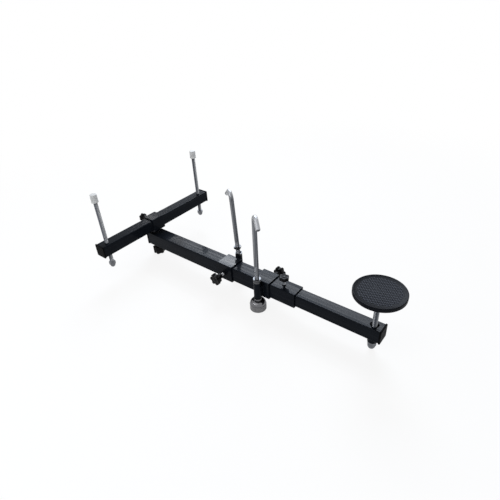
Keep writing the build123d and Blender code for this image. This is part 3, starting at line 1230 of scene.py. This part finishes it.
@dataclass
class SwivelCollar:
    """Collar that carries the crossbar on the pivot stud, with its two knobs."""

    pivot_boss_r: float = 17.0
    pivot_weld: float = 1.8
    pivot_knob_r: float = 22.5
    pivot_knob_thick: float = 30.0
    pivot_hub_r: float = 12.0
    insert_r: float = 9.0
    cover: float = 5.8
    lock: ClampKnob = ClampKnob("collar", "collar", "collar_lock", BACK, 16.0, 12.5, 2.6)

    def build(self) -> None:
        """Dresses the collar's steel and makes its knobs, stud and welds."""
        dress(PAINT, "collar", "pivot_boss", "collar_boss")
        dress(ZINC, "pivot_stud", "pivot_washer", "pivot_insert", "clamp_washer")
        top = seat_on("pivot_boss", DOWN)
        WeldBead("pivot_boss_weld", "collar", self.pivot_weld).round_seam(top, self.pivot_boss_r)
        self.lock.weld_boss()
        self.lock.build()
        depth = reach_of("pivot_knob", DOWN) - self.cover
        StarKnob(
            "pivot_knob", "pivot_knob", DOWN, self.pivot_knob_r, self.pivot_knob_thick,
            self.pivot_hub_r, self.insert_r, depth,
        ).build()


@dataclass
class Crossbar:
    """Crossbar tube with its end plugs and the screws' weld nuts."""

    ends: tuple[str, str] = ("near", "far")

    def build(self) -> None:
        """Dresses the tube, its plugs and its nuts, and builds both stabilisers."""
        dress(CROSS_PAINT, "crossbar")
        dress(ZINC, "screw_nuts")
        for end in self.ends:
            dress(PLUG, f"crossbar_cap_{end}")
            dress(ZINC, f"screw_dome_{end}")
            dress(NYLON, f"screw_cap_{end}")
            ThreadedRod(f"screw_{end}", f"screw_{end}", UP).build()


@dataclass
class Handwheel:
    """Cup-shaped handwheel nut with a knurled rim and a turned shoulder."""

    tag: str
    radius: float = 27.5
    neck_r: float = 13.5
    neck_h: float = 8.0
    rim_h: float = 23.0
    height: float = 44.0
    edge: float = 2.0
    edge_soft: float = 0.2
    bore: float = 7.58
    bulge_out: float = 0.78
    bulge_up: float = 0.62
    shoulder_in: float = 1.2
    shoulder_steps: int = 16
    band_low: float = 0.4
    band_high: float = 1.8
    lip: tuple[Pair, ...] = ((0.1, 1.3), (0.1, 0.9), (0.6, 0.1))
    groove: tuple[Pair, ...] = ((0.7, 0.4), (0.7, 1.2), (0.0, 1.6))
    neck_edge: float = 0.5
    knurls: int = 80
    knurl_depth: float = 0.55
    knurl_rows: int = 34
    rows_a_knurl: int = 4
    sides_a_knurl: int = 4

    def seat(self) -> Matrix:
        """Frame of the wheel's lower face, which stands on the floor, along the hook's axis.

        Returns:
            The frame in the row frame.
        """
        axis = joint_seat(f"handwheel_{self.tag}_turn")
        lean = abs(axis.to_euler().y)
        drop = (axis.translation.z - (self.radius - self.edge) * math.sin(lean)) / math.cos(lean)
        return axis @ lift(-drop)

    def outline(self) -> tuple[list[Pair], int, int]:
        """Section of the wheel.

        Returns:
            The section's points, and the numbers of the first and last that are knurled.
        """
        foot = (self.radius - self.edge_soft, self.edge - self.edge_soft)
        low = [(self.bore, 0.0), (self.radius - self.edge, 0.0), foot]
        bottom, top = self.edge + self.band_low, self.rim_h - self.band_high
        rows = range(self.knurl_rows + 1)
        band = [(self.radius, bottom + (top - bottom) * k / self.knurl_rows) for k in rows]
        lip = [(self.radius - inset, self.rim_h - drop) for inset, drop in self.lip]
        neck = self.height - self.neck_h
        reach = self.radius - self.neck_r
        start = Vector((self.radius - self.shoulder_in, self.rim_h))
        rise = self.bulge_up * (neck - self.rim_h)
        middle = Vector((self.neck_r + self.bulge_out * reach, self.rim_h + rise))
        shoulder = arc_points(start, middle, Vector((self.neck_r, neck)), self.shoulder_steps)
        groove = [(self.neck_r - inset, neck + up) for inset, up in self.groove]
        top_edge = [(self.neck_r, self.height - self.neck_edge), (self.neck_r - self.neck_edge, self.height)]
        first = len(low)
        points = [*low, *band, *lip, *shoulder, *groove, *top_edge, (self.bore, self.height)]
        return points, first, first + len(band) - 1

    def build(self) -> None:
        """Makes the wheel in place of its CAD solid, and dresses its washer."""
        points, first, last = self.outline()
        sides = self.knurls * self.sides_a_knurl

        def shape(k: int, angle: float) -> float:
            """Radius of the section with the diamonds of the knurl.

            Args:
                k: number of the section's point.
                angle: angle round the wheel.

            Returns:
                The radius there.
            """
            radius = points[k][0]
            if not first < k < last:
                return radius
            across = self.knurls * angle / math.tau
            along = (k - first) / self.rows_a_knurl
            slopes = (abs((across + side * along) % 1.0 - 0.5) * 2 for side in (-1, 1))
            return radius - self.knurl_depth * (1 - min(slopes))

        draft = Draft()
        draft.lathe(points, sides, shape, closed=True)
        turned = range((last + 1) * sides, len(draft.points))
        draft.grain.update((n, ALONG) for n in turned)
        node = f"handwheel_{self.tag}"
        draft.piece(f"{node}_knurled", f"wheel_{self.tag}", TURNED, self.seat(), [node])
        dress(BRIGHT_ZINC, f"wheel_washer_{self.tag}")


@dataclass
class HookRod:
    """Hook bent from round rod, with a thread on its lower end and a thin stop nut."""

    tag: str
    turn_deg: float
    bend_lift: float
    rod_r: float = 7.5
    shank: float = 314.0
    shank_rows: int = 8
    bend_r: float = 20.0
    bend_deg: float = 125.0
    bend_rows: int = 40
    leg: float = 29.5
    leg_rows: Pair = (0.35, 0.7)
    chamfer: float = 1.5
    threaded: float = 158.0
    runout: float = 3.5
    steps: int = 32

    def seat(self) -> Matrix:
        """Frame at the start of the bend, opening towards its X."""
        turn = Matrix.Rotation(math.radians(self.turn_deg), 4, "Z")
        return joint_seat(f"handwheel_{self.tag}_turn") @ turn @ lift(self.bend_lift)

    def path(self) -> list[tuple[Matrix, Radius]]:
        """Sections from the threaded end up the shank, round the bend and out to the tip.

        Returns:
            Each section's frame and its radius by angle.
        """
        thread = Thread(self.rod_r, -self.shank, -self.shank + self.threaded, runout=self.runout)
        stations = []
        for height in thread.heights():
            most = self.rod_r - max(0.0, self.chamfer - (height + self.shank))
            stations.append((lift(height), capped(most, thread.at(height))))
        plain = even(self.rod_r)
        start, rows = thread.high, self.shank_rows
        stations += [(lift(start - start * k / rows), plain) for k in range(1, rows)]
        for k in range(self.bend_rows + 1):
            angle = math.radians(self.bend_deg) * k / self.bend_rows
            middle = (self.bend_r * (1 - math.cos(angle)), 0, self.bend_r * math.sin(angle))
            stations.append((Matrix.Translation(middle) @ Matrix.Rotation(angle, 4, "Y"), plain))
        end = stations[-1][0]
        for run in (*self.leg_rows, 1 - self.chamfer / self.leg):
            stations.append((end @ lift(self.leg * run), plain))
        stations.append((end @ lift(self.leg), even(self.rod_r - self.chamfer)))
        return stations

    def build(self) -> None:
        """Makes the hook in place of its CAD rod, and dresses its nut."""
        draft = Draft()
        # The turn sets where the hook's painted reflection streaks fall.
        draft.sweep(self.path(), self.steps, turn=math.radians(self.turn_deg))
        node = f"hook_{self.tag}"
        draft.piece(f"{node}_bent_rod", node, HOOK_ROD, self.seat(), [node])
        dress(BRIGHT_ZINC, f"stop_nut_{self.tag}")


@dataclass
class HookCarrier:
    """Square sleeve with a guide tube on one side and a clamp knob on the other."""

    tag: str
    clamp_out: Vector
    sleeve: Finish
    knob_r: float = 20.5
    knob_thick: float = 16.0
    knob_lobe: float = 4.5
    weld: float = 1.5
    weld_inset: float = 1.0

    def seams(self) -> None:
        """Welds the gussets to the sleeve, down both outer faces."""
        low, high = (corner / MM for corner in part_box(f"gussets_{self.tag}"))
        wall = low.y if self.clamp_out.y < 0 else high.y
        foot, head = low.z + self.weld_inset, high.z - self.weld_inset
        for x, end in ((low.x, "back"), (high.x, "front")):
            bead = WeldBead(f"gusset_{end}_weld_{self.tag}", f"carrier_{self.tag}", self.weld)
            bead.straight_seam(Vector((x, wall, foot)), Vector((x, wall, head)))

    def build(self) -> None:
        """Dresses the carrier's steel and makes its clamp and welds."""
        tag = self.tag
        dress(self.sleeve, f"sleeve_{tag}")
        dress(PAINT, f"guide_{tag}", f"gussets_{tag}", f"clamp_boss_{tag}")
        dress(BRIGHT_ZINC, f"guide_ring_{tag}")
        clamp = ClampKnob(
            "clamp", f"carrier_{tag}", f"clamp_{tag}", self.clamp_out,
            self.knob_r, self.knob_thick, self.knob_lobe, f"_{tag}",
        )
        clamp.weld_boss()
        self.seams()
        clamp.build()


@dataclass(frozen=True)
class Lamp:
    """Soft lamp over the object: its place, its length and width in metres, and its light in watts."""

    name: str
    at: Colour
    size: Pair
    power: float
    aim: float = 0.1

    def hang(self) -> None:
        """Hangs the lamp so that it faces the object, its length along the beam."""
        data = bpy.data.lights.new(self.name, "AREA")
        data.shape = "RECTANGLE"
        data.size, data.size_y = self.size
        data.energy = self.power
        lamp = bpy.data.objects.new(self.name, data)
        lamp.location = self.at
        drop = Vector((0, -self.at[1], self.aim - self.at[2]))
        lamp.rotation_euler = drop.to_track_quat("-Z", "Y").to_euler()
        bpy.context.scene.collection.objects.link(lamp)


@dataclass
class Studio:
    """Pale floor, soft lamps and the camera of the photograph, in metres."""

    camera_at: Colour = (0.72215, -0.8598, 0.9109)
    camera_turn_deg: Colour = (56.30, 2.79, 37.80)
    lens: float = 29.40
    sensor: float = 36.0
    nearest: float = 0.01
    floor_half: float = 9.0
    floor_white: float = 0.95
    glow: Pair = (0.87, 1.0)
    glow_reach: Pair = (0.8, 2.2)
    ambient: float = 0.30
    sky_power: float = 2.4
    sky_spread_deg: float = 34.0
    sky_colour: Colour = (0.78, 0.87, 1.0)
    sky_way: Colour = (0.4075, -0.657, -0.635)
    lamps: tuple[Lamp, ...] = (
        Lamp("strip_softbox", (-1.05, 1.2, 1.27), (2.8, 0.05), 8.0),
        Lamp("top_softbox", (-0.25, -0.7, 1.9), (1.6, 1.3), 5.0),
        Lamp("front_strip", (-0.66, -1.62, 1.33), (2.2, 0.14), 8.0),
    )

    def seen(self, tree: Tree) -> Socket:
        """Factor that is 1 for what the camera sees, directly, in a mirror or through glass.

        Args:
            tree: node tree that uses it.

        Returns:
            The factor's socket.
        """
        path = tree.nodes.new("ShaderNodeLightPath")
        total = path.outputs["Is Camera Ray"]
        for name in ("Is Glossy Ray", "Is Transmission Ray"):
            total = math_node(tree, "MAXIMUM", total, path.outputs[name])
        return total

    def paper(self) -> bpy.types.Material:
        """White paper that glows to white away from the object, for what the camera sees.

        Returns:
            The material.
        """
        material = bpy.data.materials.new("studio_white")
        material.use_nodes = True
        tree = material.node_tree
        tree.nodes.clear()
        white = tree.nodes.new("ShaderNodeBsdfDiffuse")
        white.inputs["Color"].default_value = (self.floor_white, self.floor_white, self.floor_white, 1)
        glow = tree.nodes.new("ShaderNodeEmission")
        reach = tree.nodes.new("ShaderNodeVectorMath")
        reach.operation = "LENGTH"
        tree.links.new(tree.nodes.new("ShaderNodeTexCoord").outputs["Object"], reach.inputs[0])
        fade = map_range(tree, reach.outputs["Value"], self.glow_reach, self.glow, "SMOOTHSTEP")
        mix = tree.nodes.new("ShaderNodeMixShader")
        tree.links.new(math_node(tree, "MULTIPLY", self.seen(tree), fade), mix.inputs["Fac"])
        tree.links.new(white.outputs["BSDF"], mix.inputs[1])
        tree.links.new(glow.outputs["Emission"], mix.inputs[2])
        out = tree.nodes.new("ShaderNodeOutputMaterial")
        tree.links.new(mix.outputs["Shader"], out.inputs["Surface"])
        return material

    def floor(self) -> None:
        """Lays a white floor that keeps a soft shadow."""
        half = self.floor_half
        corners = [(-half, -half, 0), (half, -half, 0), (half, half, 0), (-half, half, 0)]
        mesh = bpy.data.meshes.new("studio_floor")
        mesh.from_pydata(corners, [], [(0, 1, 2, 3)])
        mesh.materials.append(self.paper())
        floor = bpy.data.objects.new("studio_floor", mesh)
        bpy.context.scene.collection.objects.link(floor)

    def world(self) -> None:
        """White surroundings for the camera, and a softer ambient light for the object."""
        world = bpy.data.worlds.new("studio_world")
        world.use_nodes = True
        bpy.context.scene.world = world
        tree = world.node_tree
        strength = map_range(tree, self.seen(tree), (0, 1), (self.ambient, 1))
        background = tree.nodes["Background"]
        background.inputs["Color"].default_value = (1, 1, 1, 1)
        tree.links.new(strength, background.inputs["Strength"])

    def sky_panel(self) -> None:
        """Lights everything alike from a broad panel behind and above the object."""
        data = bpy.data.lights.new("sky_panel", "SUN")
        data.energy = self.sky_power
        data.angle = math.radians(self.sky_spread_deg)
        data.color = self.sky_colour
        lamp = bpy.data.objects.new("sky_panel", data)
        lamp.rotation_euler = Vector(self.sky_way).to_track_quat("-Z", "Y").to_euler()
        bpy.context.scene.collection.objects.link(lamp)

    def camera(self) -> None:
        """Sets the camera where the photograph was taken."""
        data = bpy.data.cameras.new("photo_camera")
        data.lens = self.lens
        data.sensor_width = self.sensor
        data.clip_start = self.nearest
        camera = bpy.data.objects.new("photo_camera", data)
        camera.location = self.camera_at
        camera.rotation_euler = tuple(math.radians(t) for t in self.camera_turn_deg)
        bpy.context.scene.collection.objects.link(camera)
        bpy.context.scene.camera = camera

    def build(self) -> None:
        """Sets up the floor, the light and the camera."""
        bpy.context.scene.view_settings.view_transform = "Standard"
        self.floor()
        self.world()
        self.sky_panel()
        for lamp in self.lamps:
            lamp.hang()
        self.camera()


def main() -> None:
    """Builds the studio and every sub-assembly in order."""
    logging.basicConfig(level=logging.INFO, format="%(message)s")
    Studio().build()
    MainBeam().build()
    TelescopicBeam().build()
    Pad().build()
    SwivelCollar().build()
    Crossbar().build()
    HookCarrier("a", TOWARDS, RUBBED_PAINT).build()
    HookCarrier("b", AWAY, SLEEVE_PAINT).build()
    HookRod("a", turn_deg=146.0, bend_lift=238.0).build()
    HookRod("b", turn_deg=-41.5, bend_lift=252.0).build()
    for tag in ("a", "b"):
        Handwheel(tag).build()


if __name__ == "__main__":
    main()
